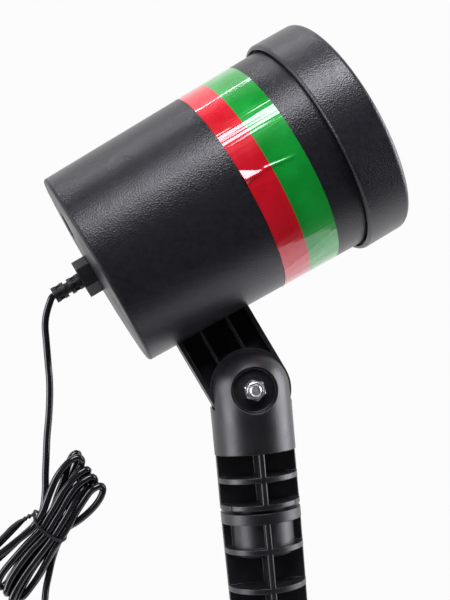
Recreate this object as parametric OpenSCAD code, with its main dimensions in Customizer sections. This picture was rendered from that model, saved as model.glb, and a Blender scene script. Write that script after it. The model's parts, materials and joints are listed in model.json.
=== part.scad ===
// Light projector on a ground stake: a tapered barrel that tilts on a two-piece spike.
// Z is up, the barrel points towards +X and the tilt bolt lies along Y.
// The origin is on the stake's axis at the ground line.

/* [Stake] */
// Height of the tilt bolt above the ground line
bolt_h = 130; // [126:1:150]
// Diameter of the stake's round outline
stake_d = 34.6; // [34:0.2:35]
// Diameter of the arm's smooth upper part
smooth_d = 35.6; // [35.2:0.2:36]
// Length of the spike below the ground line
spike_depth = 100; // [80:1:120]
// Thickness of the stake's long webs
web_t = 2.4; // [2:0.1:3]
// Thickness of the stake's round ribs
rib_t = 2.2; // [1.8:0.1:2.6]

/* [Head] */
// Tilt of the barrel above level as it is stored
rest_tilt = 25.7; // [10:0.1:40]
// Distance from the tilt bolt to the barrel's axis
axis_h = 77.5; // [77:0.5:80]
// Diameter of the barrel at its back edge
back_d = 89; // [88:0.5:90]
// Growth of the barrel's radius per millimetre towards the front
taper = 0.03; // [0.02:0.005:0.035]
// Distance from the bolt back to the barrel's back edge
back_len = 29.6; // [29:0.1:31]
// Wall thickness of the barrel
wall = 2.4; // [2.2:0.1:2.6]
// Height of the domed rear cover
dome_h = 2.6; // [2:0.1:3]

/* [Hood] */
// Distance from the bolt forward to the hood's back edge
hood_back = 75.1; // [74:0.1:76]
// Distance from the bolt forward to the hood's front edge
hood_front = 96; // [95:0.1:97]
// Outside diameter of the hood
hood_d = 101.2; // [101:0.2:104]

/* [Colour bands] */
// Distance from the bolt forward to the red band's back edge
red_start = 35.3; // [34:0.1:37]
// Width of the red band
red_w = 11.9; // [11:0.1:13]
// Width of the green band
green_w = 14.5; // [13:0.1:15]

/* [Bracket and bolt] */
// Width of the mounting bracket along the barrel
bracket_w = 34.6; // [34:0.2:34.8]
// Thickness of the mounting bracket between the fork's cheeks
bracket_t = 12; // [10:0.5:13]
// Diameter of the tilt bolt
bolt_d = 5; // [5, 5.1]
// Width across the flats of the bolt's nut
nut_af = 8; // [7.8:0.1:8.4]
// Diameter of the round recess that holds the nut
recess_d = 19.8; // [18:0.2:21]

/* [Cord] */
// Diameter of the cord
cord_d = 3.05; // [2.8:0.05:3.2]
// Width across the corners of the cable gland's hexagon
gland_ac = 16.9; // [16:0.1:18]
// Length of the strain relief outside the gland
relief_len = 13.2; // [12:0.1:14]

/* [Hidden] */
$fn = 96;

eps = 0.02;
gap = 0.3;                      // free space between moving pieces
run = 0.05;                     // radial running clearance on the bolt

// Barrel, measured along its axis from the point above the bolt
back_r = back_d / 2;
back_t = -back_len;
front_t = 88;                   // front edge of the barrel, inside the hood
film_t = 0.15;                  // thickness of the colour bands
seat_r = 45.4;                  // round seat of the front window
shoulder_t = 80;                // front face of the shoulder that carries the window
gasket_t = 1.2;
window_t = 3;
cover_inner_t = back_t + 1;     // inner face of the rear cover
post_r = 35.5;                  // circle of the cover screws
post_d = 8;
screw_d = 3;

// Optics
plate_t = 60;                   // back face of the front plate
laser_y = 15;                   // sideways distance of each laser from the axis
laser_d = 12;
carrier_t = 30;                 // back face of the laser carrier

// Rear controls, measured up from the barrel's axis and sideways
control_x = 22;
button_y = 7;
sensor_y = -9;
board_back_t = -20.5;           // back face of the switch board
button_d = 11.6;
post_ys = [17.5, -18.5];

// Gland
gland_face_t = back_t - dome_h;
gland_hex_l = 6.2;
shank_d = 12;
relief_t = gland_face_t - gland_hex_l;
relief_end_t = relief_t - relief_len;
cord_pivot_t = relief_end_t - 1.85;

// Stake, heights measured down from the bolt
stake_r = stake_d / 2;
smooth_r = smooth_d / 2;
smooth_l = 26.7;
upper_rib = 36.4;               // top of the single rib in the middle of the fork's lower half
fork_end = 50.2;                // underside of the fork piece
spike_top = 51.4;
collar_l = 4.4;
rib_pitch = 16.2;
first_rib = 66.1;
socket_r = 13.5;
socket_end = 70.5;
plug_r = 12;
plug_end = 67;
slot_r = bracket_w / 2 + 0.5;   // round floor of the fork's slot
slot_open = 36;                 // lean of the slot's sides, which stop the bracket
ledge_w = 0.9;                  // small step round the recess floor
ledge_h = 1.6;
recess_floor = 12.8;            // distance of the recess floor from the stake's axis
ground_r = 16.1;                // outline of the stake at the ground line

// Head frame: X forward along the barrel, Z from the bolt to the barrel's axis
module in_head() translate([0, 0, bolt_h]) rotate([0, -rest_tilt, 0]) children();
// Barrel axis frame: Z forward along the axis, X away from the bolt
module on_axis() in_head() translate([0, 0, axis_h]) rotate([0, 90, 0]) rotate([0, 0, 180]) children();

function barrel_r(t) = back_r + taper * (t - back_t);
function unit(v) = v / norm(v);

// A round cord swept along a route of points
function route_dir(p, i) = unit(p[min(i + 1, len(p) - 1)] - p[max(i - 1, 0)]);
function ring_pts(p, i, r, ref, sides) =
    let (d = route_dir(p, i), u = unit(cross(d, ref)), v = cross(u, d))
    [for (k = [0 : sides - 1]) p[i] + r * (cos(360 * k / sides) * u + sin(360 * k / sides) * v)];
module cord_tube(p, r, ref = [0, 1, 0], sides = 8) {
    n = len(p);
    points = [for (i = [0 : n - 1]) each ring_pts(p, i, r, ref, sides)];
    walls = [for (i = [0 : n - 2], k = [0 : sides - 1])
        let (a = i * sides + k, b = i * sides + (k + 1) % sides)
        each [[a, b, b + sides], [a, b + sides, a + sides]]];
    first = [for (k = [sides - 1 : -1 : 0]) k];
    last = [for (k = [0 : sides - 1]) (n - 1) * sides + k];
    polyhedron(points, concat(walls, [first, last]));
}

// ---- Barrel and hood ----

module barrel() color("#2e2e31") difference() {
    union() {
        on_axis() rotate_extrude() polygon([
            [back_r, back_t], [barrel_r(front_t), front_t], [seat_r, front_t], [seat_r, shoulder_t],
            [41.5, shoulder_t], [41.5, shoulder_t - 2], [barrel_r(74) - wall, 74],
            [barrel_r(plate_t) - wall, plate_t], [42.4, plate_t], [42.4, plate_t - 1.5],
            [barrel_r(54) - wall, 54], [back_r - wall, back_t + 1], [back_r - 1.3, back_t + 1],
            [back_r - 1.3, back_t]]);
        for (a = [0, 120, 240]) on_axis() rotate([0, 0, a]) {
            translate([post_r, 0, back_t + 5.2]) cylinder(d = post_d, h = 14);
            translate([post_r, -1.2, back_t + 5.2]) cube([back_r - wall / 2 - post_r, 2.4, 14]);
        }
        intersection() {
            in_head() for (x = [-20.5, 20.5], y = [-10, 10])
                translate([x, y, axis_h - back_r - 1]) cylinder(d = 7, h = flange_z - axis_h + back_r + 1);
            on_axis() translate([0, 0, back_t]) cylinder(r1 = back_r - 1, r2 = barrel_r(front_t) - 1,
                h = front_t - back_t);
        }
    }
    for (a = [0, 120, 240]) on_axis() rotate([0, 0, a]) translate([post_r, 0, back_t + 5])
        cylinder(d = screw_d, h = 10);
    in_head() translate([-bracket_w / 2 - 0.1, -bracket_t / 2 - 0.1, 20])
        cube([bracket_w + 0.2, bracket_t + 0.2, 17]);
    in_head() for (x = [-20.5, 20.5], y = [-10, 10]) translate([x, y, flange_z - 3.6])
        cylinder(d = screw_d, h = 8);
}

hood_inner_r = 48.05;
hood_lip_r = 1.5;
hood_edge_r = 2.4;
hood_open_r = 42.8;
module hood() color("#2e2e31") on_axis() rotate_extrude() polygon(concat(
    [[hood_open_r, shoulder_t + gasket_t + window_t], [seat_r, shoulder_t + gasket_t + window_t],
        [seat_r, front_t], [hood_inner_r, front_t], [hood_inner_r, hood_back + 2.2],
        [48.5, hood_back + 2.2], [48.5, hood_back + 0.6], [48.9, hood_back]],
    [for (a = [270 : 15 : 360])
        [hood_d / 2 - hood_lip_r + hood_lip_r * cos(a), hood_back + hood_lip_r + hood_lip_r * sin(a)]],
    [for (a = [0 : 10 : 90])
        [hood_d / 2 - hood_edge_r + hood_edge_r * cos(a), hood_front - hood_edge_r + hood_edge_r * sin(a)]],
    [[hood_open_r + 1.2, hood_front], [hood_open_r, hood_front - 1.2]]));

module band(t0, t1) on_axis() rotate_extrude() polygon([
    [barrel_r(t0), t0], [barrel_r(t0) + film_t, t0], [barrel_r(t1) + film_t, t1], [barrel_r(t1), t1]]);
module red_band() color("#d2203c") band(red_start, red_start + red_w);
module green_band() color("#1fa04c") band(red_start + red_w, red_start + red_w + green_w);

// ---- Front window and optics ----

module lens_gasket() color("#1b1b1b") on_axis() translate([0, 0, shoulder_t]) difference() {
    cylinder(r = seat_r, h = gasket_t);
    translate([0, 0, -1]) cylinder(r = 42.2, h = gasket_t + 2);
}
module lens_window() color("#cfd8dc", 0.4) on_axis() translate([0, 0, shoulder_t + gasket_t])
    cylinder(r = seat_r, h = window_t);

aperture_d = 14;
module front_plate() color("#141414") on_axis() difference() {
    translate([0, 0, plate_t]) cylinder(r = 44.6, h = 2);
    for (s = [-1, 1]) translate([0, s * laser_y, plate_t - 1]) cylinder(d = aperture_d, h = 4);
    for (s = [-1, 1]) translate([8, s * 27, plate_t - 1]) cylinder(d = 3.2, h = 4);
}
module gratings() color("#b9c6cf", 0.5) on_axis() for (s = [-1, 1])
    translate([0, s * laser_y, plate_t + 2]) cylinder(d = aperture_d + 4, h = 1);

module laser_carrier() color("#b8bcc0") on_axis() difference() {
    translate([-12, -31, carrier_t]) cube([24, 62, plate_t - carrier_t]);
    for (s = [-1, 1]) translate([0, s * laser_y, carrier_t - 1])
        cylinder(d = laser_d + 0.1, h = plate_t - carrier_t + 2);
    for (x = [-12, -6, 0, 6], s = [-1, 1]) translate([x + 2, s * 29.5 - 1.6, carrier_t - 1])
        cube([2, 3.2, plate_t - carrier_t + 2]);
}
module laser_module(back, lens_d) difference() {
    union() {
        translate([0, 0, back]) cylinder(d = laser_d, h = plate_t - 2 - back);
        translate([0, 0, plate_t - 2]) cylinder(d = lens_d, h = 3);
    }
    translate([0, 0, plate_t - 1]) cylinder(d = 3, h = 3);
}
module red_laser() color("#c8a24a") on_axis() translate([0, laser_y, 0]) laser_module(24, 9);
module green_laser() color("#c8a24a") on_axis() translate([0, -laser_y, 0]) laser_module(8, 10);

// ---- Electronics ----

board_x = -12;                  // top face of the driver board, from the axis
module driver_board() color("#1d6b3a") on_axis() difference() {
    translate([board_x - 1.6, -22, -15]) cube([1.6, 44, 56]);
    for (y = [-18, 18]) translate([board_x - 3, y, 36]) rotate([0, 90, 0]) cylinder(d = 3.2, h = 5);
}
module board_parts() color("#2b2b2b") on_axis() {
    for (y = [-14, -4]) translate([board_x, y, -8]) rotate([0, 90, 0]) cylinder(d = 8, h = 9);
    translate([board_x, 4, -12]) cube([6, 7, 9]);
    translate([board_x, 4, 0]) cube([1.6, 8, 6]);
    for (t = [10, 20]) translate([board_x - 4.6, -6, t]) cube([3, 9, 6]);
    for (y = [-16, 10]) translate([board_x - 3.2, y, 0]) cube([1.6, 4, 3]);
}
// Leads inside the barrel: supply, both lasers and the switch board
lead_r = 0.9;
module inner_leads() color("#8a1f1f") on_axis() {
    for (s = [-1, 1]) cord_tube([[0, s * 1.2, -13], [0.5, s * 1.5 + 1, -11], [0.5, s * 1.8 + 4, -9],
        [-1, s * 2 + 6.5, -8], [-3.5, s * 2 + 7.5, -7.5], [-6, s * 2 + 7.5, -7.5]], lead_r, [0, 0, 1]);
    cord_tube([[0, laser_y, 24], [0, laser_y, 20], [-3, laser_y, 17], [-9, laser_y, 16],
        [-12, laser_y, 16]], lead_r);
    cord_tube([[0, -laser_y, 8], [0, -laser_y, 5.5], [-3, -laser_y - 1, 3.5], [-8, -laser_y - 2, 2],
        [-12, -laser_y - 2, 2]], lead_r);
    cord_tube([[18, 0, -18.9], [18, 0, -16.5], [15, 0, -12], [9, 0, -8], [3, 1, -4], [-3, 2, 0],
        [-8, 2, 3], [-12, 2, 3]], lead_r);
}

// ---- Rear cover and controls ----

edge_r = 1.4;                   // rounded rim of the rear cover
crown_h = dome_h - edge_r;
crown_r = back_r - edge_r;
module rear_cover() color("#242426") difference() {
    union() {
        on_axis() rotate_extrude() polygon(concat(
            [[0, cover_inner_t], [39.3, cover_inner_t], [39.3, back_t + 5], [41.2, back_t + 5],
                [41.2, back_t], [back_r, back_t]],
            [for (a = [15 : 15 : 75]) [crown_r + edge_r * cos(a), back_t - edge_r * sin(a)]],
            [for (k = [20 : -1 : 0]) let (r = crown_r * k / 20)
                [r, back_t - edge_r - crown_h * (1 - pow(r / crown_r, 2))]]));
        on_axis() for (y = post_ys) translate([control_x, y, cover_inner_t - 0.5])
            cylinder(d = 6, h = board_back_t - cover_inner_t + 0.5);
    }
    on_axis() {
        translate([0, 0, -60]) cylinder(d = shank_d + 0.1, h = 60);
        translate([control_x, button_y, -60]) cylinder(d = button_d + 0.6, h = 60);
        translate([control_x, sensor_y, -60]) cylinder(d = 6.1, h = 60);
        for (y = post_ys) translate([control_x, y, board_back_t - 6]) cylinder(d = 2.2, h = 8);
        for (a = [0, 120, 240]) rotate([0, 0, a]) translate([post_r, 0, back_t]) {
            translate([0, 0, -10]) cylinder(d = screw_d + 0.4, h = 20);
            translate([0, 0, -dome_h]) cylinder(d1 = 7.4, d2 = screw_d + 0.4, h = 2.3);
        }
    }
}
module rear_gasket() color("#1b1b1b") on_axis() translate([0, 0, back_t]) difference() {
    cylinder(r = back_r - 1.3, h = 1);
    translate([0, 0, -1]) cylinder(r = 41.25, h = 3);
}
module countersunk_screw(l) {
    cylinder(d1 = 5.6, d2 = screw_d - 0.1, h = 1.7);
    cylinder(d = screw_d - 0.1, h = l);
}
module cover_screws() color("#55585c") on_axis() for (a = [0, 120, 240])
    rotate([0, 0, a]) translate([post_r, 0, back_t - 1.75]) countersunk_screw(14);

module switch_board() color("#1d6b3a") on_axis() difference() {
    translate([control_x - 7, -22, board_back_t]) cube([14, 42, 1.6]);
    for (y = post_ys) translate([control_x, y, board_back_t - 1]) cylinder(d = 2.6, h = 4);
}
module switch_screws() color("#55585c") on_axis() for (y = post_ys)
    translate([control_x, y, board_back_t]) {
        translate([0, 0, 1.6]) cylinder(d = 4.4, h = 1.6);
        translate([0, 0, -5]) cylinder(d = 2.1, h = 6.6);
    }
module tact_switch() color("#2a2a2a") on_axis() difference() {
    translate([control_x - 3, button_y - 3, board_back_t - 3.5]) cube([6, 6, 3.5]);
    translate([control_x, button_y, board_back_t - 5]) cylinder(d = 4, h = 5 + eps);
}
module switch_plunger() color("#d8d8d8") on_axis() translate([control_x, button_y, board_back_t - 6.7])
    cylinder(d = 3.4, h = 4.9);
module mode_button() color("#3a3a3d") on_axis() translate([control_x, button_y, 0]) {
    translate([0, 0, back_t - 1.6]) cylinder(d = button_d, h = 3.4);
    translate([0, 0, cover_inner_t + 0.4]) cylinder(d = 14, h = 1);
}
module photocell() color("#b5502a") on_axis() translate([control_x, sensor_y, board_back_t - 2.5])
    cylinder(d = 5, h = 2.5);
module dusk_window() color("#d9dde0", 0.6) on_axis() translate([control_x, sensor_y, 0]) {
    translate([0, 0, back_t - 1.8]) cylinder(d = 6, h = 2.8);
    translate([0, 0, cover_inner_t]) cylinder(d = 8, h = 1);
}

// ---- Gland and cord entry ----

module cable_gland() color("#1c1c1e") on_axis() difference() {
    union() {
        translate([0, 0, relief_t]) cylinder(d = gland_ac, h = gland_hex_l, $fn = 6);
        translate([0, 0, gland_face_t - 0.1]) cylinder(d = shank_d, h = 13);
    }
    translate([0, 0, relief_t - 1]) cylinder(d = 6.3, h = 30);
}
module gland_nut() color("#1c1c1e") on_axis() difference() {
    translate([0, 0, cover_inner_t]) cylinder(d = 18.4, h = 4.5, $fn = 6);
    translate([0, 0, cover_inner_t - 1]) cylinder(d = shank_d + 0.05, h = 7);
}
relief_rings = 4;
relief_pitch = (relief_len - 2) / (relief_rings - 1);
module strain_relief() color("#1c1c1e") on_axis() difference() {
    union() {
        translate([0, 0, relief_end_t]) cylinder(d = 4.9, h = relief_len);
        translate([0, 0, relief_t]) cylinder(d = 6.2, h = 14);
        for (k = [0 : relief_rings - 1]) translate([0, 0, relief_end_t + k * relief_pitch]) {
            cylinder(d = 7, h = 1.9);
            if (k < relief_rings - 1) rotate([0, 0, 90 * (k % 2)])
                translate([-3.2, -1, 0.5]) cube([6.4, 2, relief_pitch]);
        }
    }
    translate([0, 0, relief_end_t - 1]) cylinder(d = cord_d + 0.1, h = relief_len + 18);
}
module cord_entry() color("#19191b") on_axis() translate([0, 0, relief_end_t + 0.2])
    cylinder(d = cord_d, h = -13.4 - relief_end_t);

// ---- Bracket ----

flange_z = 38.6;                // underside of the bracket's flange inside the barrel
bracket_wall = 1.8;
bracket_rib = 1;
bracket_rib_x = 6.4;
bracket_web = 2.4;
module bracket_outline() {
    circle(d = bracket_w);
    translate([-bracket_w / 2, 0]) square([bracket_w, flange_z + 1]);
}
module bracket_pocket(x0, x1) rotate([90, 0, 0]) linear_extrude(bracket_t) difference() {
    translate([x0, 0]) square([x1 - x0, 33]);
    circle(d = bracket_w + 1.2);
}
module mount_bracket() color("#161618") in_head() difference() {
    union() {
        rotate([90, 0, 0]) translate([0, 0, -bracket_t / 2]) linear_extrude(bracket_t) bracket_outline();
        translate([-24, -14, flange_z]) cube([48, 28, 2.5]);
    }
    for (s = [-1, 1]) translate([0, s > 0 ? bracket_t + bracket_web / 2 : -bracket_web / 2, 0]) {
        bracket_pocket(-bracket_w / 2 + bracket_wall, -bracket_rib_x - bracket_rib / 2);
        bracket_pocket(-bracket_rib_x + bracket_rib / 2, bracket_rib_x - bracket_rib / 2);
        bracket_pocket(bracket_rib_x + bracket_rib / 2, bracket_w / 2 - bracket_wall);
    }
    rotate([90, 0, 0]) translate([0, 0, -20]) cylinder(r = bolt_d / 2 + run, h = 40);
    for (x = [-20.5, 20.5], y = [-10, 10]) translate([x, y, flange_z - 1]) cylinder(d = 3.4, h = 6);
}
module bracket_screws() color("#55585c") in_head() for (x = [-20.5, 20.5], y = [-10, 10])
    translate([x, y, flange_z]) {
        translate([0, 0, 2.5]) cylinder(d = 5.6, h = 2);
        translate([0, 0, -3.4]) cylinder(d = screw_d - 0.1, h = 6);
    }

// ---- Stake ----

// End outline of a long web, with small chamfers on its edges
web_chamfer = 0.35;
module web_outline(r) polygon([for (s = [[-1, -1], [1, -1], [1, 1], [-1, 1]]) each s[0] * s[1] > 0 ?
    [[s[0] * web_t / 2, s[1] * (r - web_chamfer)], [s[0] * (web_t / 2 - web_chamfer), s[1] * r]] :
    [[s[0] * (web_t / 2 - web_chamfer), s[1] * r], [s[0] * web_t / 2, s[1] * (r - web_chamfer)]]]);
module cross_web(z0, z1, r) translate([0, 0, z0]) linear_extrude(z1 - z0) {
    web_outline(r);
    rotate(90) web_outline(r);
}
module tapered_web(z0, r0, z1, r1) for (a = [0, 90]) rotate([0, 0, a]) hull() {
    translate([0, 0, z0]) linear_extrude(eps) web_outline(r0);
    translate([0, 0, z1 - eps]) linear_extrude(eps) web_outline(r1);
}

module stake_arm() color("#1e1e20") difference() {
    union() {
        translate([0, 0, bolt_h]) sphere(r = smooth_r);
        translate([0, 0, bolt_h - smooth_l]) cylinder(r1 = smooth_r - 0.2, r2 = smooth_r, h = smooth_l);
        cross_web(bolt_h - fork_end + 1, bolt_h - smooth_l + 1, stake_r);
        translate([0, 0, bolt_h - upper_rib - rib_t]) cylinder(r = stake_r, h = rib_t);
        translate([0, 0, bolt_h - fork_end + 0.5]) cylinder(r = stake_r, h = 1.9);
        translate([0, 0, bolt_h - fork_end]) cylinder(r1 = stake_r - 0.5, r2 = stake_r, h = 0.5);
        translate([0, 0, bolt_h - plug_end]) cylinder(r = plug_r, h = plug_end - fork_end + 1);
    }
    for (a = [-slot_open, slot_open]) translate([0, 0, bolt_h]) rotate([0, a, 0])
        translate([-slot_r, -bracket_t / 2 - gap, 0]) cube([2 * slot_r, bracket_t + 2 * gap, 60]);
    translate([0, bracket_t / 2 + gap, bolt_h]) rotate([90, 0, 0])
        cylinder(r = slot_r, h = bracket_t + 2 * gap);
    for (s = [-1, 1]) translate([0, s * recess_floor, bolt_h]) rotate([s * -90, 0, 0]) {
        cylinder(d = recess_d - 2 * ledge_w, h = 20);
        translate([0, 0, ledge_h]) cylinder(d = recess_d, h = 20);
    }
    translate([0, 30, bolt_h]) rotate([90, 0, 0]) cylinder(r = bolt_d / 2 + 0.1, h = 60);
    for (a = [-142, -38]) translate([0, 0, bolt_h - fork_end - 1]) rotate([0, 0, a])
        translate([stake_r - 0.5, -0.2, 0]) cube([2, 0.4, 5]);
}

function spike_r(d) = d < bolt_h ?
    stake_r - (stake_r - ground_r) * (d - spike_top) / (bolt_h - spike_top) :
    ground_r - (ground_r - 1.6) * pow((d - bolt_h) / spike_depth, 1.25);
module spike_rib(d) translate([0, 0, bolt_h - d - rib_t])
    cylinder(r1 = spike_r(d + rib_t), r2 = spike_r(d), h = rib_t);
module ground_spike() color("#1e1e20") difference() {
    union() {
        translate([0, 0, bolt_h - spike_top - collar_l]) cylinder(r = stake_r, h = collar_l);
        translate([0, 0, bolt_h - socket_end + 1.5])
            cylinder(r = socket_r, h = socket_end - spike_top - 1.5);
        translate([0, 0, bolt_h - socket_end]) cylinder(r1 = socket_r - 1.5, r2 = socket_r, h = 1.5);
        tapered_web(0, ground_r, bolt_h - spike_top - 1, stake_r);
        tapered_web(-spike_depth / 2, spike_r(bolt_h + spike_depth / 2), 0, ground_r);
        tapered_web(-spike_depth, 1.6, -spike_depth / 2, spike_r(bolt_h + spike_depth / 2));
        for (d = [first_rib : rib_pitch : bolt_h + spike_depth * 0.8]) spike_rib(d);
    }
    translate([0, 0, bolt_h - plug_end - 0.5]) cylinder(r = plug_r + run, h = 40);
}

bolt_end = 18.6;                // distance of the bolt's end from the stake's axis
bolt_head_h = 3.5;
module tilt_bolt() color("#c9ccd0") translate([0, 0, bolt_h]) rotate([90, 0, 0]) {
    translate([0, 0, -recess_floor]) cylinder(d = bolt_d, h = recess_floor + bolt_end - 0.6);
    translate([0, 0, bolt_end - 0.6]) cylinder(d1 = bolt_d, d2 = bolt_d - 1, h = 0.6);
    translate([0, 0, -recess_floor - bolt_head_h]) rotate([0, 0, 12])
        cylinder(d = nut_af / cos(30), h = bolt_head_h, $fn = 6);
}
hex_h = 4.1;                    // flats of the lock nut
collar_h = 1.1;                 // round collar over them
module tilt_nut() color("#c9ccd0") translate([0, 0, bolt_h]) rotate([90, 0, 0])
    translate([0, 0, recess_floor]) difference() {
        union() {
            intersection() {
                rotate([0, 0, 40.7]) cylinder(d = nut_af / cos(30), h = hex_h, $fn = 6);
                translate([0, 0, -1]) cylinder(d1 = nut_af / cos(30) + 8, d2 = nut_af - 0.3, h = hex_h + 1.6);
            }
            translate([0, 0, hex_h - 0.1]) cylinder(d1 = nut_af - 0.8, d2 = nut_af - 1.6, h = collar_h + 0.1);
        }
        translate([0, 0, -1]) cylinder(r = bolt_d / 2 + 0.02, h = 8);
    }

// ---- Cord ----

drop_route = [
    [-82.5, 0, 174], [-83.5, 0, 171.5], [-84.5, 0, 168], [-85, 0, 164], [-85, 0, 159], [-85, 0, 154],
    [-85, 0, 148], [-85, 0, 142], [-85.5, 0, 135], [-86.5, 0, 127], [-88, 0, 118], [-89, 0, 110],
    [-90, 0, 102], [-90.5, 0, 96], [-92, 0, 90]];
tail_route = [
    [-87, 0, 75], [-88.5, 0, 70.5], [-90.5, 0, 65.5], [-92, 0, 60.5], [-93.5, 0, 55.5],
    [-94.5, 0, 50], [-95, 0, 44]];
cord_pivot = [
    cord_pivot_t * cos(rest_tilt) - axis_h * sin(rest_tilt), 0,
    bolt_h + cord_pivot_t * sin(rest_tilt) + axis_h * cos(rest_tilt)];
waist = [-90, 0, 81];           // middle of the hank, where the tie holds it
hank_lean = 37;                 // lean of the hank from upright
hank_t = 9.2;                   // thickness of the hank, three cords deep
// Ends of the hank's two fans: across, along, end radius
upper_fan = [[-7, 29, 4.2], [9.4, 22.5, 4.2], [-4.4, 0, 4], [4.4, 0, 4]];
lower_fan = [[-10.5, -28, 4.2], [5.5, -30.5, 4.2], [-4.4, 0, 4], [4.4, 0, 4]];

module in_hank() translate(waist) rotate([0, hank_lean, 0]) children();
module fan(ends) hull() for (e = ends) translate([e[0], e[1]]) circle(r = e[2], $fn = 32);

module cord_drop() color("#19191b") cord_tube(concat([cord_pivot], drop_route), cord_d / 2);
module cord_tail() color("#19191b") cord_tube(tail_route, cord_d / 2);
module cord_hank() color("#19191b") in_hank() rotate([90, 0, 0]) translate([0, 0, -hank_t / 2])
    linear_extrude(hank_t) {
        fan(upper_fan);
        fan(lower_fan);
    }
tie_w = 1.3;
module cord_tie() color("#101012") in_hank() {
    translate([0, 0, -2 - tie_w / 2]) linear_extrude(tie_w) difference() {
        square([19.6, hank_t + 2.6], center = true);
        square([17.4, hank_t + 0.1], center = true);
    }
    translate([-9.5, 0, -2]) rotate([0, 194, 0]) translate([0, -0.4, 0]) cube([2.4, 0.8, 20]);
}

plug_top = [-95, 0, 44];
relief_l = 8;
body_l = 16;
contact_l = 9.5;
module groove(z, d) translate([0, 0, z]) difference() {
    cylinder(d = 12, h = 0.9);
    translate([0, 0, -1]) cylinder(d = d, h = 3);
}
module plug_relief() color("#19191b") translate(plug_top - [0, 0, relief_l]) difference() {
    cylinder(d1 = 6.4, d2 = 4, h = relief_l);
    for (k = [0 : 2]) groove(1.2 + 2 * k, 4.9 - 0.4 * k);
}
module plug_body() color("#19191b") translate(plug_top - [0, 0, relief_l + body_l]) difference() {
    rotate_extrude() polygon([
        [0, 0], [4.2, 0], [4.8, 0.6], [4.8, 12], [3.9, 14], [3.6, body_l], [0, body_l]]);
    for (k = [0 : 3]) groove(3 + 2 * k, 8.6);
}
module plug_contact() color("#c9ccd0") translate(plug_top - [0, 0, relief_l + body_l + contact_l])
    rotate_extrude() polygon([[1.05, 0], [2.45, 0], [2.75, 0.3], [2.75, contact_l], [0, contact_l],
        [0, contact_l - 1], [1.05, contact_l - 1]]);

barrel();
hood();
red_band();
green_band();
lens_window();
lens_gasket();
front_plate();
gratings();
laser_carrier();
red_laser();
green_laser();
driver_board();
board_parts();
inner_leads();
rear_cover();
rear_gasket();
cover_screws();
switch_board();
tact_switch();
photocell();
dusk_window();
switch_screws();
mode_button();
switch_plunger();
cable_gland();
gland_nut();
strain_relief();
cord_entry();
mount_bracket();
bracket_screws();
stake_arm();
ground_spike();
tilt_bolt();
tilt_nut();
cord_drop();
cord_hank();
cord_tie();
cord_tail();
plug_relief();
plug_body();
plug_contact();
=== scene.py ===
"""Light projector on a ground stake: camera, light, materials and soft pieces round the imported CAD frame."""
import json
import math

import bmesh
import bpy
import numpy as np
from mathutils import Matrix, Vector, noise


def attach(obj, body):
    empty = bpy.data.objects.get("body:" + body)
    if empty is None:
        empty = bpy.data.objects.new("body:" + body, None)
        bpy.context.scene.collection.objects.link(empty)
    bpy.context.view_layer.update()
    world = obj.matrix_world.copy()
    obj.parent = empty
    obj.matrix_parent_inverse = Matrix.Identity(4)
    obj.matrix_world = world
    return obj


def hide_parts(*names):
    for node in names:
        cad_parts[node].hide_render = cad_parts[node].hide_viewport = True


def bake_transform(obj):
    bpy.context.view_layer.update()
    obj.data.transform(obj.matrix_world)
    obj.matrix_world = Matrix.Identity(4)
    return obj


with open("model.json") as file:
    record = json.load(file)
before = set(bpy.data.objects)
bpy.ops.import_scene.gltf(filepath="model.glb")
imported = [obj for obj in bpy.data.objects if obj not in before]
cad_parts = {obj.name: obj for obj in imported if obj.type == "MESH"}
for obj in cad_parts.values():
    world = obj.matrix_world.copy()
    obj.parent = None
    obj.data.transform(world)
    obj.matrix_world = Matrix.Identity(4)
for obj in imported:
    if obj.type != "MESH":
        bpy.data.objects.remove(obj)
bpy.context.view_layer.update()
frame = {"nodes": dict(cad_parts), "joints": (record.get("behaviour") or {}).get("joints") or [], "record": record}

MM = 0.001
nodes = frame["nodes"]
joints = {j["name"]: j for j in frame["joints"]}
bolt = Vector(joints["head_tilt"]["pos_m"])
cord_hinge = Vector(joints["cord_hang"]["pos_m"])
forward = Vector(joints["button_press"]["axis"]).normalized()   # along the barrel, towards the hood
side = Vector((0, 1, 0))                                         # along the bolt, away from the camera
upward = forward.cross(side)                                     # from the bolt towards the barrel's axis
AXIS_H = 77.5                                                    # height of the barrel's axis over the bolt


# ---- Camera ----

CAMERA_FROM_BOLT = Vector((-64.8, -446.6, 21.8))   # millimetres
CAMERA_AZIMUTH = 7.35                               # degrees, all three
CAMERA_ELEVATION = -2.25
CAMERA_ROLL = -5.15
LENS = 62.2


def make_camera():
    az, el, roll = (math.radians(a) for a in (CAMERA_AZIMUTH, CAMERA_ELEVATION, CAMERA_ROLL))
    ahead = Vector((math.sin(az) * math.cos(el), math.cos(az) * math.cos(el), -math.sin(el)))
    level = Vector((math.cos(az), -math.sin(az), 0))
    over = level.cross(ahead)
    right = math.cos(roll) * level + math.sin(roll) * over
    up = -math.sin(roll) * level + math.cos(roll) * over
    data = bpy.data.cameras.new("camera")
    data.lens, data.sensor_width = LENS, 36
    data.clip_start, data.clip_end = 0.01, 20
    cam = bpy.data.objects.new("camera", data)
    bpy.context.scene.collection.objects.link(cam)
    turn = Matrix((right, up, -ahead)).transposed()
    cam.matrix_world = Matrix.Translation(bolt + CAMERA_FROM_BOLT * MM) @ turn.to_4x4()
    bpy.context.scene.camera = cam


make_camera()


# ---- Mesh helpers ----

def add_object(name, mesh):
    obj = bpy.data.objects.new(name, mesh)
    bpy.context.scene.collection.objects.link(obj)
    return obj


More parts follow.
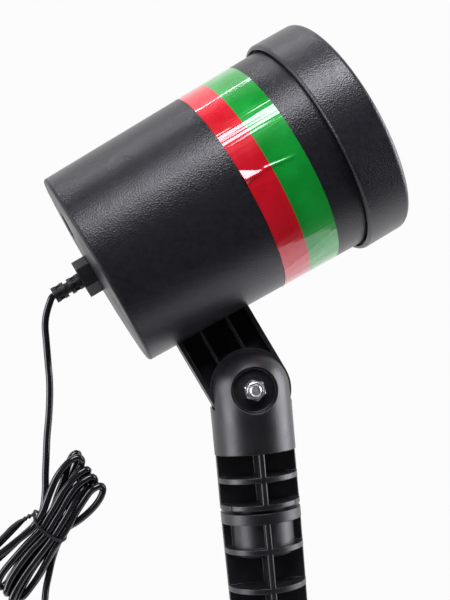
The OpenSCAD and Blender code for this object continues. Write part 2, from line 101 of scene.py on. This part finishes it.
def smooth_line(points, step):
    """A Catmull-Rom curve through the points, resampled to even steps."""
    pts = [Vector(p) for p in points]
    pts = [2 * pts[0] - pts[1]] + pts + [2 * pts[-1] - pts[-2]]
    fine = []
    for a, b, c, d in zip(pts, pts[1:], pts[2:], pts[3:]):
        for k in range(16):
            t = k / 16
            fine.append(0.5 * (2 * b + (c - a) * t + (2 * a - 5 * b + 4 * c - d) * t ** 2
                               + (3 * b - a - 3 * c + d) * t ** 3))
    fine.append(pts[-2])
    return even_steps(np.array(fine), step)


def even_steps(line, step):
    gaps = np.linalg.norm(np.diff(line, axis=0), axis=1)
    along = np.concatenate([[0], np.cumsum(gaps)])
    count = max(2, int(round(along[-1] / step)) + 1)
    wanted = np.linspace(0, along[-1], count)
    return np.stack([np.interp(wanted, along, line[:, k]) for k in range(3)], axis=1)


def sweep(name, line, section, first_side=(0, 1, 0), closed=False):
    """A tube along a line. section(i) gives ring i's outline as (sideways, upwards) pairs in metres."""
    count = len(line)
    if closed:
        tangents = np.roll(line, -1, axis=0) - np.roll(line, 1, axis=0)
    else:
        tangents = np.gradient(line, axis=0)
    tangents = [Vector(t).normalized() for t in tangents]
    u = Vector(first_side)
    mesh = bmesh.new()
    rings = []
    for i in range(count):
        u = (u - tangents[i] * u.dot(tangents[i])).normalized()
        v = tangents[i].cross(u)
        centre = Vector(line[i])
        rings.append([mesh.verts.new(centre + u * a + v * b) for a, b in section(i)])
    pairs = list(zip(rings, rings[1:])) + ([(rings[-1], rings[0])] if closed else [])
    for ring, after in pairs:
        for k in range(len(ring)):
            j = (k + 1) % len(ring)
            mesh.faces.new((ring[k], ring[j], after[j], after[k]))
    if not closed:
        mesh.faces.new(rings[0][::-1])
        mesh.faces.new(rings[-1])
    bmesh.ops.recalc_face_normals(mesh, faces=mesh.faces)
    data = bpy.data.meshes.new(name)
    mesh.to_mesh(data)
    mesh.free()
    for face in data.polygons:
        face.use_smooth = True
    return add_object(name, data)


def ellipse(wide, high, sides=12, turn=0.0):
    """An outline of an ellipse, with its long way turned by an angle in radians."""
    out = []
    for k in range(sides):
        a = 2 * math.pi * k / sides
        x, y = wide / 2 * math.cos(a), high / 2 * math.sin(a)
        out.append((x * math.cos(turn) - y * math.sin(turn), x * math.sin(turn) + y * math.cos(turn)))
    return out


# ---- Cord: drop, hank and tail, one length ----

CORD_D = 3.05 * MM
CORD_STEP = 1.0 * MM
# The cord leaves the strain relief along the barrel's axis, then falls; millimetres in the row frame
DROP = [(-82.5, 0, 174), (-83.5, 0, 171.5), (-84.5, 0, 168), (-85, 0, 164), (-85, 0, 159), (-85, 0, 154),
        (-85, 0, 148), (-85, 0, 142), (-85.5, 0, 135), (-86.5, 0, 127), (-88, 0, 118), (-89, 0, 110),
        (-90, 0, 102), (-90.5, 0, 96)]
TAIL = [(-88.5, 2, 70.5), (-90.5, 2.4, 65.5), (-92, 2.2, 60.5), (-93.5, 1.4, 55.5), (-94.5, 0.4, 50),
        (-95, 0, 44)]
WAIST = Vector((-90, 0, 81))        # middle of the hank
LEAN = math.radians(37)             # lean of the hank from upright
ROWS = (-2.95, 0, 2.95, 5.4)        # depth of the rows of strands, front to back; only loops reach the last


def in_hank(across, along, row):
    """A point of the hank, in millimetres. row 0 is the front row; parts lie between rows."""
    depth = float(np.interp(row, range(4), ROWS))
    turned = Vector((across * math.cos(LEAN) + along * math.sin(LEAN), depth,
                     -across * math.sin(LEAN) + along * math.cos(LEAN)))
    return WAIST + turned


# Each strand's place at the waist: across, row
STRANDS = {
    "f1": (-5.2, 0), "f2": (-2.3, 0), "f3": (0.7, 0), "f4": (3.8, 0), "f5": (6.4, 0.2),
    "b1": (-5.4, 1), "b2": (-2.4, 1), "b3": (0.6, 1), "b4": (3.6, 1), "b5": (6.7, 1.2),
    "c1": (-2.2, 2), "c2": (0.9, 2), "c3": (4.0, 2)}
# Upper loops, from the strand that goes up to the one that comes down: across, along, row
UPPER = {
    ("f1", "b2"): [(-6.2, 7, 0), (-7.6, 13.5, 0), (-8.4, 19.5, 0), (-7.7, 26, 0), (-6.3, 29.8, 0),
                   (-4.5, 31.2, 0.1), (-2.8, 30.5, 0.4), (-2, 27.5, 0.9), (-2.1, 21, 1), (-2.4, 14, 1),
                   (-2.4, 8, 1)],
    ("f2", "b3"): [(-2.3, 7, 0), (-2.6, 14, 0), (-2.3, 20.5, 0), (-1.2, 25.2, 0), (0.2, 28.2, 0.1),
                   (1.7, 28.6, 0.5), (2.4, 26.2, 0.9), (1.9, 20, 1), (1.1, 13, 1), (0.7, 8, 1)],
    ("f3", "b4"): [(1.5, 7.5, 0), (1.2, 14, 0), (1.5, 20, 0), (2.7, 25, 0), (4, 27.3, 0.1),
                   (5.4, 26.6, 0.5), (5.7, 24, 0.9), (4.9, 17, 1), (4.1, 9, 1)],
    ("f4", "c3"): [(3.7, 7.5, 0), (3.3, 14, 0.1), (3.9, 20, 0.4), (5.2, 24.2, 0.9), (6.7, 24.8, 1.5),
                   (7, 22, 2), (5.8, 15, 2), (4.6, 8, 2)],
    ("c1", "c2"): [(-2.3, 8, 1.8), (-3.6, 14, 1.5), (-5.2, 19.5, 1.3), (-6.8, 25, 1.2), (-7.6, 29.3, 1.2),
                   (-6.7, 32, 1.4), (-5, 31.4, 1.7), (-3.9, 28, 2), (-3, 22, 2), (-1.6, 14, 2), (0.2, 8, 2)],
    ("f5", "b5"): [(6, 6.5, 0.2), (5.5, 12.5, 0.2), (5.9, 18.5, 0.1), (7.1, 23.2, 0), (9, 26, 0.1),
                   (11.1, 25, 0.3), (12.1, 20.5, 0.5), (11.5, 15, 0.7), (10.1, 10, 0.9), (8.5, 6, 1.1)],
}
# Lower loops, from the strand that goes down to the one that comes up
LOWER = {
    ("b1", "f1"): [(-7.2, -9, 1), (-9.5, -17.5, 1), (-11.7, -25, 0.9), (-13.4, -29.6, 0.5),
                   (-15, -28.4, 0.1), (-13.2, -24, 0), (-10.6, -18, 0), (-7.7, -10, 0)],
    ("b2", "f2"): [(-1.1, -7, 1), (-1, -11, 1), (-1.7, -18, 1), (-1.8, -25, 1), (-2.3, -30, 0.9),
                   (-4, -32.2, 0.5), (-5.9, -30.6, 0.1), (-6.4, -26, 0), (-5.7, -20.5, 0), (-4.2, -11.5, 0)],
    ("b3", "f3"): [(0.5, -9, 1), (0.3, -17, 1), (0.7, -25, 1), (1.3, -30, 0.9), (0.6, -32.8, 0.5),
                   (-1, -31.8, 0.1), (-2, -28, 0), (-2.1, -21.5, 0), (-1.2, -12, 0)],
    ("b4", "f4"): [(3.7, -9, 1), (3.1, -16, 1), (3, -23, 1), (3.8, -30, 0.9), (4.1, -34, 0.5),
                   (2.8, -34, 0.1), (2.2, -29, 0), (2.1, -22, 0), (2.9, -12.5, 0)],
    ("c3", "c1"): [(3.4, -8, 2.6), (1.7, -14, 2.9), (0.6, -21, 2.8), (0, -27.5, 2.6), (-1, -31, 2.3),
                   (-2.1, -28.5, 2), (-2.2, -22, 1.9), (-1.6, -14, 1.9), (-1.4, -8, 2)],
    ("c2", "f5"): [(1.6, -8, 2), (2.6, -15, 2), (2.7, -23, 2), (3.4, -30, 1.9), (4.9, -33, 1.6),
                   (6.3, -30.6, 1.3), (7.1, -25, 1.2), (7.3, -19, 0.9), (6.8, -12.5, 0.6), (6.3, -7, 0.3)],
}
CHAIN = ["b1", "f1", "b2", "f2", "b3", "f3", "b4", "f4", "c3", "c1", "c2", "f5", "b5"]


def hank_points():
    """The folded cord's points, strand by strand, from the one below the drop to the one above the tail."""
    points = []
    for k, name in enumerate(CHAIN):
        across, row = STRANDS[name]
        way = -1 if k % 2 == 0 else 1
        points += [in_hank(across, -3 * way, row), in_hank(across, 3 * way, row)]
        if k + 1 < len(CHAIN):
            loops = LOWER if way < 0 else UPPER
            points += [in_hank(*p) for p in loops[name, CHAIN[k + 1]]]
    return points


def spread_strands(line, thick, fixed, rounds=120):
    """Pushes strands that lie inside each other apart, and keeps the line smooth. Its fixed ends stay."""
    line = line.copy()
    home = line.copy()
    count = len(line)
    step = np.linalg.norm(line[1] - line[0])
    # Points nearer than this along the cord are its own neighbours, not another strand
    apart = np.abs(np.subtract.outer(np.arange(count), np.arange(count))) * step > 2.2 * thick
    soft = np.hanning(9) / np.hanning(9).sum()
    free = np.ones(count)
    free[:fixed[0]] = 0
    free[count - fixed[1]:] = 0
    for _ in range(rounds):
        gap = line[:, None, :] - line[None, :, :]
        far = np.linalg.norm(gap, axis=2)
        deep = np.where(apart & (far < thick), thick - far, 0)
        push = (gap * (deep / np.maximum(far, 1e-6))[:, :, None]).sum(axis=1)
        most = np.linalg.norm(push, axis=1, keepdims=True)
        push *= np.minimum(1, 0.4 * MM / np.maximum(most, 1e-9)) * 0.6
        push = np.stack([np.convolve(push[:, k], soft, mode="same") for k in range(3)], axis=1)
        middle = line.copy()
        middle[1:-1] = (line[:-2] + line[2:]) / 2
        line += free[:, None] * (push + 0.12 * (middle - line) + 0.045 * (home - line))
    return line


def cord_line():
    inside = [cord_hinge + forward * s * MM for s in (9, 6, 3, 0.8)]
    drop = [Vector(p) * MM for p in DROP]
    tail = [Vector(p) * MM for p in TAIL]
    folded = [p * MM for p in hank_points()]
    line = smooth_line(inside + drop + folded + tail, CORD_STEP)
    ends = (int(75 * MM / CORD_STEP), int(16 * MM / CORD_STEP))
    return even_steps(spread_strands(line, CORD_D * 1.02, ends), CORD_STEP)


cord_path = cord_line()
cord = sweep("cord", cord_path, lambda i: ellipse(CORD_D, CORD_D, 12), first_side=side)


# ---- Tie round the hank ----

TIE_HALF = (8.5, 5.4)               # half width and half depth of its loop, millimetres
# Its sag along the front, from left to right: across, along
TIE_FRONT = [(-8.5, 1.8), (-6.7, -0.6), (-4.1, -2), (-1.2, -2.6), (1.8, -2.8), (4.8, -2.8), (7.4, -2.2),
             (8.5, -0.8)]


def tie_loop():
    points = []
    for k in range(90):
        a = 2 * math.pi * k / 90
        c, s = math.cos(a), math.sin(a)
        across = TIE_HALF[0] * math.copysign(abs(c) ** 0.6, c)
        depth = TIE_HALF[1] * math.copysign(abs(s) ** 0.6, s)
        front = float(np.interp(across, [p[0] for p in TIE_FRONT], [p[1] for p in TIE_FRONT]))
        back = 0.5 - 0.15 * across
        share = min(max(0.5 - depth / 4, 0), 1)
        flat = in_hank(across, back + (front - back) * share, 1)
        points.append((flat + Vector((0, depth, 0))) * MM)
    points = np.array(points)
    for _ in range(3):
        points = (np.roll(points, 1, axis=0) + 2 * points + np.roll(points, -1, axis=0)) / 4
    return even_steps(np.vstack([points, points[:1]]), 0.6 * MM)[:-1]


tie_path = tie_loop()
tie = sweep("tie_loop", tie_path, lambda i: ellipse(1.4 * MM, 0.95 * MM, 10, 0.03 * i), closed=True)


def tie_twist():
    """The tie's two ends, wound round each other beside the bundle."""
    bends = [(-7.4, 1.6, -0.2), (-8.6, 0.6, -0.5), (-9.6, -0.7, -0.5), (-10.6, -2.6, -0.3)]
    points = [(in_hank(across, along, 0) + side * out) * MM for across, along, out in bends]
    return smooth_line(points, 0.25 * MM)


twist_path = tie_twist()
tie_knot = sweep("tie_knot", twist_path, lambda i: ellipse(2.1 * MM, 1.1 * MM, 10, 0.4 * i))


def tie_tail(apart, last_along, depth):
    """One free end of the tie. apart moves it to one side of the pair's middle line."""
    middle = [(-10.4, -2.3), (-11.4, -4.6), (-12.4, -8.2), (-13.2, -12), (-14.2, -16.4), (-15.2, last_along)]
    spread = [0.25, 0.75, 1, 1, 1, 1]
    points = [in_hank(across + apart * share, along + 0.3 * apart * share, 0) + side * depth * share
              for (across, along), share in zip(middle, spread)]
    return smooth_line([p * MM for p in points], 0.5 * MM)


def ribbon(i, count):
    """The flat tie: a thin web with a wire down its middle, turning from edge-on to flat."""
    turn = 1.2 * (1 - min(1, i / (0.4 * count)))
    outline = [(-0.85, -0.16), (-0.4, -0.2), (-0.2, -0.42), (0.2, -0.42), (0.4, -0.2), (0.85, -0.16),
               (0.85, 0.16), (0.4, 0.2), (0.2, 0.42), (-0.2, 0.42), (-0.4, 0.2), (-0.85, 0.16)]
    c, s = math.cos(turn), math.sin(turn)
    return [((x * c - y * s) * MM, (x * s + y * c) * MM) for x, y in outline]


tail_paths = [tie_tail(-0.85, -21.5, -0.3), tie_tail(0.85, -20, 0.5)]
tie_tails = [sweep(f"tie_tail_{n}", path, lambda i, c=len(path): ribbon(i, c), first_side=(1, 0, 0))
             for n, path in enumerate(tail_paths)]


# ---- Foil bands ----

def head_point(t, angle, radius):
    """A point round the barrel's axis: t ahead of the bolt, angle from the top towards the camera."""
    out = upward * math.cos(angle) - side * math.sin(angle)
    return bolt + (forward * t + upward * AXIS_H + out * radius) * MM


BARREL_BACK_R, BARREL_BACK_T, BARREL_TAPER = 44.5, -29.6, 0.03
FOIL_THICK = 0.14
MM_PER_DEGREE = 0.8                 # along the foil, nearly
STREAK_ANGLE = 67                   # degrees; fine wrinkles gather here
FOLD_ANGLE, FOLD_FRONT_T = 92.2, 44.5    # the fold's ridge, and how far forward it reaches


def barrel_radius(t):
    return BARREL_BACK_R + BARREL_TAPER * (t - BARREL_BACK_T)


# Creases in the foil: start (t, degrees), end, height and half width in millimetres, and the share of that
# height left at the end
CREASES = [((36, 66), (61, 66), 0.05, 0.8, 1), ((36, 71.5), (61, 71), 0.06, 0.9, 1),
           ((45, 91.8), (56, 93.6), 0.45, 0.8, 0.8),
           ((38, 97), (48, 99), 0.12, 0.8, 0.5),
           ((36, 128), (61, 124), 0.08, 2, 1), ((36, 150), (60, 140), 0.1, 1.4, 1),
           ((36, 215), (61, 228), 0.16, 1.2, 1), ((37, 300), (60, 310), 0.12, 1.4, 1)]


def fold_height(t, angle):
    """The raised fold at the red foil's back edge: a long slope above its ridge and a short one below."""
    share = min(max((FOLD_FRONT_T - t) / 9, 0), 1)
    off = (angle - FOLD_ANGLE) * MM_PER_DEGREE
    reach = 4.8 * share if off < 0 else 1.5
    return 0.34 * 4.8 * share * max(0, 1 - abs(off) / max(reach, 0.01))


def foil_height(t, angle):
    """Height of the foil over its seat: wrinkles that run along the barrel, and the creases."""
    arc = math.radians(angle) * 46                  # millimetres round the barrel, nearly
    streaks = math.exp(-((angle - STREAK_ANGLE) / 5.5) ** 2)
    height = 0.03 * noise.noise(Vector((arc / 5, t / 45, 3.1)))
    height += 0.015 * noise.noise(Vector((arc / 1.2, t / 14, 8.7)))
    height += 0.065 * streaks * noise.noise(Vector((arc / 0.7, t / 22, 5.3)))
    for (t0, a0), (t1, a1), high, wide, last in CREASES:
        part = min(max((t - t0) / (t1 - t0), 0), 1)
        off = (angle - (a0 + (a1 - a0) * part)) * MM_PER_DEGREE
        fade = 1 if t0 <= t <= t1 else max(0, 1 - min(abs(t - t0), abs(t - t1)) / 3)
        height += high * (1 + (last - 1) * part) * fade * math.exp(-(off / wide) ** 2)
    return height + fold_height(t, angle)


def foil_band(name, node, t0, t1):
    """A thin foil wrapped round the barrel, wavy and creased."""
    around, along = 1440, 22
    mesh = bmesh.new()
    rows = []
    for j in range(along + 1):
        t = t0 + (t1 - t0) * j / along
        ring = []
        for k in range(around):
            angle = 360 * k / around
            lift = FOIL_THICK + max(-0.08, foil_height(t, angle))
            ring.append(mesh.verts.new(head_point(t, math.radians(angle), barrel_radius(t) + lift)))
        rows.append(ring)
    for low, high in zip(rows, rows[1:]):
        for k in range(around):
            j = (k + 1) % around
            mesh.faces.new((low[k], low[j], high[j], high[k]))
    inner = [[mesh.verts.new(head_point(t, math.radians(360 * k / around), barrel_radius(t) + 0.005))
              for k in range(around)] for t in (t0, t1)]
    for k in range(around):
        j = (k + 1) % around
        mesh.faces.new((inner[0][k], rows[0][k], rows[0][j], inner[0][j]))
        mesh.faces.new((rows[-1][k], inner[1][k], inner[1][j], rows[-1][j]))
        mesh.faces.new((inner[0][j], inner[1][j], inner[1][k], inner[0][k]))
    bmesh.ops.recalc_face_normals(mesh, faces=mesh.faces)
    data = bpy.data.meshes.new(name)
    mesh.to_mesh(data)
    mesh.free()
    for face in data.polygons:
        face.use_smooth = True
    data.set_sharp_from_angle(angle=math.radians(50))
    band = add_object(name, data)
    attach(band, "head")
    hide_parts(node)
    return band


RED_START, RED_W, GREEN_W = 35.3, 11.9, 14.5
red_foil = foil_band("red_foil", "red_band", RED_START, RED_START + RED_W)
green_foil = foil_band("green_foil", "green_band", RED_START + RED_W, RED_START + RED_W + GREEN_W)


# ---- Materials ----

COLOUR_A, COLOUR_B, COLOUR_OUT = 6, 7, 2      # the colour sockets of a Mix node


class Shader:
    """A material with its Principled shader, and short ways to add the nodes that feed it."""

    def __init__(self, name, colour, roughness, metallic=0.0, specular=0.5):
        self.material = bpy.data.materials.new(name)
        self.material.use_nodes = True
        self.tree = self.material.node_tree
        self.main = self.tree.nodes["Principled BSDF"]
        self.main.inputs["Base Color"].default_value = (*colour, 1)
        self.main.inputs["Roughness"].default_value = roughness
        self.main.inputs["Metallic"].default_value = metallic
        self.main.inputs["Specular IOR Level"].default_value = specular
        self.place = self.tree.nodes.new("ShaderNodeTexCoord").outputs["Object"]
        self.normal = None

    def node(self, kind, **inputs):
        made = self.tree.nodes.new(kind)
        for key, value in inputs.items():
            self.put(made.inputs[key.replace("_", " ")], value)
        return made

    def put(self, socket, value):
        if isinstance(value, bpy.types.NodeSocket):
            self.tree.links.new(value, socket)
        else:
            socket.default_value = value

    def stretch(self, scale):
        made = self.node("ShaderNodeVectorMath", Vector=self.place)
        made.operation = "MULTIPLY"
        made.inputs[1].default_value = scale
        return made.outputs[0]

    def noise(self, size_mm, detail=2.0, place=None):
        made = self.node("ShaderNodeTexNoise", Vector=place or self.place, Scale=1000 / size_mm,
                         Detail=detail)
        return made.outputs["Fac"]

    def cells(self, size_mm, feature, randomness=1.0):
        made = self.tree.nodes.new("ShaderNodeTexVoronoi")
        made.feature = feature
        self.put(made.inputs["Vector"], self.place)
        made.inputs["Scale"].default_value = 1000 / size_mm
        made.inputs["Randomness"].default_value = randomness
        return made.outputs["Distance"]

    def band(self, value, low, high, out_low=0.0, out_high=1.0):
        made = self.node("ShaderNodeMapRange", Value=value, From_Min=low, From_Max=high, To_Min=out_low,
                         To_Max=out_high)
        made.interpolation_type = "SMOOTHSTEP"
        return made.outputs["Result"]

    def times(self, a, b, operation="MULTIPLY"):
        made = self.tree.nodes.new("ShaderNodeMath")
        made.operation = operation
        self.put(made.inputs[0], a)
        self.put(made.inputs[1], b)
        return made.outputs[0]

    def tint(self, factor, low, high):
        """Base colour from low to high as factor goes from 0 to 1."""
        made = self.tree.nodes.new("ShaderNodeMix")
        made.data_type = "RGBA"
        self.put(made.inputs["Factor"], factor)
        made.inputs[COLOUR_A].default_value = (*low, 1)
        made.inputs[COLOUR_B].default_value = (*high, 1)
        self.put(self.main.inputs["Base Color"], made.outputs[COLOUR_OUT])

    def rough(self, factor, low, high):
        self.put(self.main.inputs["Roughness"], self.band(factor, 0.25, 0.75, low, high))

    def round_edges(self, radius_mm):
        made = self.tree.nodes.new("ShaderNodeBevel")
        made.samples = 6
        made.inputs["Radius"].default_value = radius_mm * MM
        self.normal = made.outputs["Normal"]
        self.put(self.main.inputs["Normal"], self.normal)

    def bump(self, height, depth_mm):
        made = self.node("ShaderNodeBump", Height=height, Distance=depth_mm * MM, Strength=1.0)
        if self.normal is not None:
            self.put(made.inputs["Normal"], self.normal)
        self.normal = made.outputs["Normal"]
        self.put(self.main.inputs["Normal"], self.normal)


def leather_black(name, base, specular, depth):
    """Moulded housing plastic with a fine leather grain and cloudy gloss."""
    s = Shader(name, base, 0.4, specular=specular)
    cells = s.cells(0.56, "SMOOTH_F1")
    fine = s.noise(0.5, 3)
    grain = s.times(s.band(cells, 0.15, 0.75), s.times(fine, 0.6), "ADD")
    s.bump(grain, depth)
    s.rough(s.noise(22, 4), 0.27, 0.33)
    s.tint(s.band(s.noise(2.2, 4), 0.2, 0.8), tuple(c * 0.8 for c in base), tuple(c * 1.3 for c in base))
    return s.material


def satin_black(name, colour, roughness, grain_mm, depth, edge, specular=0.5):
    """Plain injection-moulded plastic: a faint spark-eroded texture, soft edges and cloudy gloss."""
    s = Shader(name, colour, roughness, specular=specular)
    if edge:
        s.round_edges(edge)
    s.bump(s.noise(grain_mm, 3), depth)
    s.rough(s.noise(14, 3), roughness - 0.06, roughness + 0.07)
    worn = tuple(c * 1.7 + 0.001 for c in colour)
    s.tint(s.band(s.noise(6, 4), 0.35, 0.75), colour, worn)
    return s.material


def foil(name, dark, bright):
    """Dyed foil under a clear glossy film."""
    s = Shader(name, bright, 0.3, metallic=0.1, specular=0.12)
    s.main.inputs["Coat Weight"].default_value = 1.0
    s.main.inputs["Coat Roughness"].default_value = 0.07
    s.main.inputs["Coat IOR"].default_value = 1.52
    s.tint(s.band(s.noise(14, 3), 0.25, 0.75), dark, bright)
    s.rough(s.noise(5, 2), 0.26, 0.36)
    return s.material


def rubber(name, roughness, colour=(0.012, 0.012, 0.013), depth=0.012):
    """Soft plastic or rubber, with a faint unevenness."""
    s = Shader(name, colour, roughness)
    s.bump(s.noise(1.1, 2), depth)
    s.rough(s.noise(5, 2), roughness * 0.8, roughness * 1.2)
    s.tint(s.band(s.noise(12, 3), 0.3, 0.7), colour, tuple(c * 1.6 for c in colour))
    return s.material


def metal(name, colour, roughness, brush=(1, 1, 1), depth=0.006, edge=0.2):
    """Bare or plated metal. brush squeezes its fine marks along an axis."""
    s = Shader(name, colour, roughness, metallic=1.0)
    s.round_edges(edge)
    s.bump(s.noise(0.8, 3, s.stretch(brush)), depth)
    s.rough(s.noise(2.5, 3), roughness * 0.7, roughness * 1.4)
    s.tint(s.band(s.noise(1.6, 3), 0.3, 0.7), tuple(c * 0.82 for c in colour), colour)
    return s.material


def clear(name, colour, roughness):
    """Clear or milky acrylic."""
    s = Shader(name, colour, roughness)
    s.main.inputs["Transmission Weight"].default_value = 1.0
    s.main.inputs["IOR"].default_value = 1.49
    s.rough(s.noise(10, 3), roughness, roughness + 0.05)
    return s.material


def board(name):
    """Circuit board: solder mask over copper tracks."""
    s = Shader(name, (0.02, 0.16, 0.07), 0.35)
    tracks = s.cells(3.2, "DISTANCE_TO_EDGE", 0.4)
    s.tint(s.band(tracks, 0.03, 0.07), (0.05, 0.25, 0.11), (0.012, 0.11, 0.05))
    s.bump(s.band(tracks, 0.03, 0.07), 0.03)
    return s.material


def mixed_parts(name):
    """Components in several colours, one colour to each few millimetres."""
    s = Shader(name, (0.02, 0.02, 0.02), 0.4)
    s.tint(s.band(s.noise(11, 0), 0.45, 0.55), (0.015, 0.015, 0.018), (0.05, 0.06, 0.09))
    s.bump(s.noise(1.2, 2), 0.02)
    return s.material


MATERIALS = {
    "housing": leather_black("leather_black", (0.01, 0.01, 0.0125), 0.3, 0.058),
    "cover": satin_black("cover_black", (0.01, 0.01, 0.012), 0.38, 0.5, 0.01, 0.3, 0.16),
    "stake": satin_black("stake_black", (0.004, 0.004, 0.005), 0.36, 0.5, 0.07, 0.45),
    "bracket": satin_black("bracket_black", (0.006, 0.006, 0.007), 0.45, 0.6, 0.012, 0.3, 0.3),
    "gland": satin_black("gland_black", (0.008, 0.008, 0.009), 0.45, 0.5, 0.015, 0.3, 0.25),
    "mask": satin_black("mask_black", (0.006, 0.006, 0.006), 0.7, 0.8, 0.02, 0),
    "chips": mixed_parts("board_components"),
    "button": satin_black("button_grey", (0.05, 0.05, 0.054), 0.5, 0.5, 0.015, 0.3),
    "plunger": satin_black("plunger_white", (0.55, 0.55, 0.53), 0.4, 0.6, 0.01, 0.1),
    "cell": satin_black("photocell_orange", (0.45, 0.12, 0.04), 0.35, 0.9, 0.03, 0.1),
    "red_foil": foil("red_foil", (0.42, 0.0035, 0.01), (0.5, 0.007, 0.019)),
    "green_foil": foil("green_foil", (0.0015, 0.19, 0.017), (0.005, 0.26, 0.028)),
    "window": clear("window_clear", (0.95, 0.97, 0.98), 0.02),
    "grating": clear("grating_clear", (0.82, 0.88, 0.94), 0.12),
    "eye": clear("eye_milky", (0.8, 0.83, 0.85), 0.35),
    "seal": rubber("seal_rubber", 0.7),
    "cord": rubber("cord_jacket", 0.12, (0.006, 0.006, 0.007), 0.001),
    "leads": rubber("lead_insulation", 0.4, (0.28, 0.012, 0.012)),
    "board": board("solder_mask"),
    "heat_sink": metal("milled_aluminium", (0.62, 0.63, 0.65), 0.32, (1, 6, 1)),
    "laser_case": metal("turned_brass", (0.6, 0.42, 0.18), 0.26, (6, 1, 1)),
    "screws": metal("dark_zinc", (0.2, 0.205, 0.215), 0.38),
    "bolt": metal("bright_plate", (0.93, 0.94, 0.95), 0.32, depth=0.0002, edge=0.04),
    "contact": metal("nickel_plate", (0.66, 0.64, 0.6), 0.18),
}


hood_black = leather_black("hood_black", (0.013, 0.013, 0.016), 0.4, 0.055)


def paint(obj, name):
    obj.data.materials.clear()
    obj.data.materials.append(MATERIALS[name])


slot_of = {s["node"]: s["material_slot"] for s in frame["record"]["subparts"]}
for name, obj in nodes.items():
    for place in obj.material_slots:
        place.material = hood_black if name == "hood" else MATERIALS[slot_of[name]]

paint(cord, "cord")
tie_pieces = [tie, tie_knot, *tie_tails]
for piece in tie_pieces:
    paint(piece, "gland")
    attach(piece, "cord")
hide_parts("cord_tie")
paint(red_foil, "red_foil")
paint(green_foil, "green_foil")
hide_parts("cord_drop", "cord_hank", "cord_tail")
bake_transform(cord)


# ---- Floor and light ----

def make_floor():
    bpy.ops.mesh.primitive_circle_add(vertices=128, radius=0.34, fill_type="NGON", location=(0, 0.2, -0.1005))
    floor = bpy.context.object
    floor.name = "floor"
    s = Shader("pale_floor", (0.86, 0.86, 0.86), 0.7)
    s.tint(s.noise(300, 2), (0.84, 0.84, 0.84), (0.88, 0.88, 0.88))
    floor.data.materials.append(s.material)


def area_light(name, place, aim, size, power, long_way=(1, 0, 0)):
    data = bpy.data.lights.new(name, "AREA")
    data.shape = "RECTANGLE"
    data.size, data.size_y = size
    data.energy = power
    data.color = (0.99, 0.97, 1.05)
    lamp = bpy.data.objects.new(name, data)
    bpy.context.scene.collection.objects.link(lamp)
    z = (Vector(place) - Vector(aim)).normalized()
    x = (Vector(long_way) - z * z.dot(Vector(long_way))).normalized()
    lamp.matrix_world = Matrix.Translation(place) @ Matrix((x, z.cross(x), z)).transposed().to_4x4()


def make_world():
    """White all round for the camera. As light, white behind the object and dark on the camera's side."""
    world = bpy.data.worlds.new("studio")
    world.use_nodes = True
    tree = world.node_tree
    background = tree.nodes["Background"]
    background.inputs["Strength"].default_value = 1.0
    place = tree.nodes.new("ShaderNodeTexCoord")
    split = tree.nodes.new("ShaderNodeSeparateXYZ")
    fade = tree.nodes.new("ShaderNodeMapRange")
    fade.interpolation_type = "SMOOTHSTEP"
    fade.inputs["From Min"].default_value = -0.25
    fade.inputs["From Max"].default_value = 0.4
    fade.inputs["To Min"].default_value = 0.035
    fade.inputs["To Max"].default_value = 1.05
    ray = tree.nodes.new("ShaderNodeLightPath")
    pick = tree.nodes.new("ShaderNodeMix")
    pick.inputs["B"].default_value = 0.97
    tree.links.new(place.outputs["Generated"], split.inputs[0])
    tree.links.new(split.outputs["Y"], fade.inputs["Value"])
    tree.links.new(ray.outputs["Is Camera Ray"], pick.inputs["Factor"])
    tree.links.new(fade.outputs["Result"], pick.inputs["A"])
    tree.links.new(pick.outputs["Result"], background.inputs["Color"])
    bpy.context.scene.world = world


make_floor()
make_world()
middle = (0, 0, 0.2)
head_middle = bolt + (forward * 20 + upward * AXIS_H) * MM
area_light("key", head_middle + (forward * 0.28 + upward * 0.69 - side * 0.67) * 1.35, head_middle,
           (1.15, 0.36), 25, forward)
area_light("right_box", (1.0, -0.08, 0.25), middle, (0.7, 0.9), 16, (0, 1, 0))
area_light("left_box", (-1.0, -0.27, 0.25), middle, (0.55, 1.0), 14, (0, 1, 0))
area_light("top_strip", head_middle + (forward * 0.15 + upward * 0.976 + side * 0.166) * 1.1, head_middle,
           (0.9, 0.024), 3, forward)
bpy.context.scene.view_settings.view_transform = "Standard"
